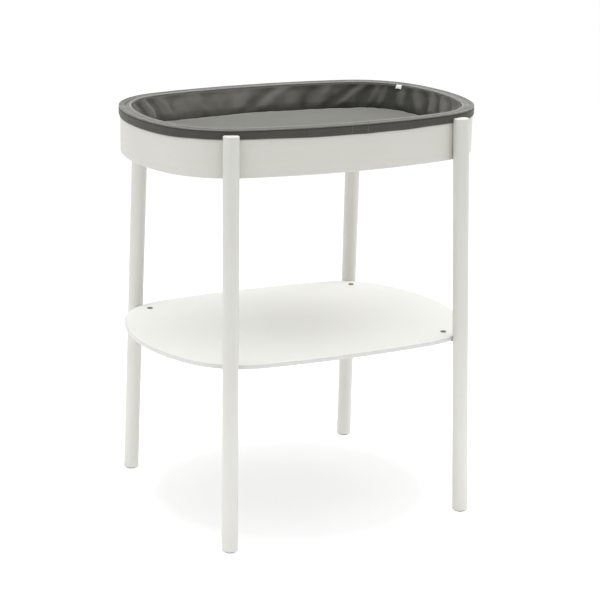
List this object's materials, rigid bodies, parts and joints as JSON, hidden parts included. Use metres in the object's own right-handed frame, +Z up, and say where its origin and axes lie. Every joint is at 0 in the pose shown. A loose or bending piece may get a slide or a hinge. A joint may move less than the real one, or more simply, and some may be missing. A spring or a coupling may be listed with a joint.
{
  "type": "changing table",
  "caption": "Oval changing table: a bent-plywood hoop on round splayed legs, a flat shelf below, and a lift-out dark grey fabric liner with a soft pad.",
  "frame": {"origin": "on the floor under the middle of the table", "axes": "+X along the long side to the right, +Y towards the back, +Z up; the front faces -Y"},
  "size_m": [0.7958, 0.6008, 0.9125],
  "materials": {
    "painted_wood": "smooth satin paint over beech and birch plywood",
    "panel": "thin paint over a board",
    "shelf_paint": "smooth satin paint over a dense board",
    "bracket_steel": "dark grey powder coat",
    "insert": "turned",
    "screw_steel": "zinc plated",
    "dark_bolt": "dark grey plating",
    "glide": "matte dark grey",
    "stiff_foam": "closed-cell foam, inside the rim",
    "liner_fabric": "tightly woven dark grey polyester",
    "label": "blank white woven tape",
    "pad_fabric": "smooth light grey fabric",
    "soft_foam": "soft foam, inside the pad"
  },
  "bodies": {
    "frame": {"top_hoop": "painted_wood", "base_panel": "panel", "hoop_bracket_front_left": "bracket_steel", "hoop_bracket_front_right": "bracket_steel", "hoop_bracket_back_left": "bracket_steel", "hoop_bracket_back_right": "bracket_steel", "leg_front_left": "painted_wood", "leg_front_right": "painted_wood", "leg_back_left": "painted_wood", "leg_back_right": "painted_wood", "leg_inserts": "insert", "leg_bolts": "screw_steel", "panel_screws": "screw_steel", "shelf_board": "shelf_paint", "shelf_bracket_front_left": "bracket_steel", "shelf_bracket_front_right": "bracket_steel", "shelf_bracket_back_left": "bracket_steel", "shelf_bracket_back_right": "bracket_steel", "bracket_screws": "screw_steel", "shelf_bolts": "dark_bolt", "glide_front_left": "glide", "glide_front_right": "glide", "glide_back_left": "glide", "glide_back_right": "glide", "glide_nails": "screw_steel"},
    "liner": {"rim_core": "stiff_foam", "rim_cover": "liner_fabric", "liner_wall": "liner_fabric", "liner_floor": "liner_fabric", "liner_label": "label"},
    "pad": {"pad_cover": "pad_fabric", "pad_foam": "soft_foam"}
  },
  "joints": [
    {"name": "liner_lift", "type": "slide", "parent": "frame", "child": "liner", "axis": [0, 0, 1], "range_m": [0, 0.25]},
    {"name": "pad_lift", "type": "slide", "parent": "liner", "child": "pad", "axis": [0, 0, 1], "range_m": [0, 0.2]}
  ]
}
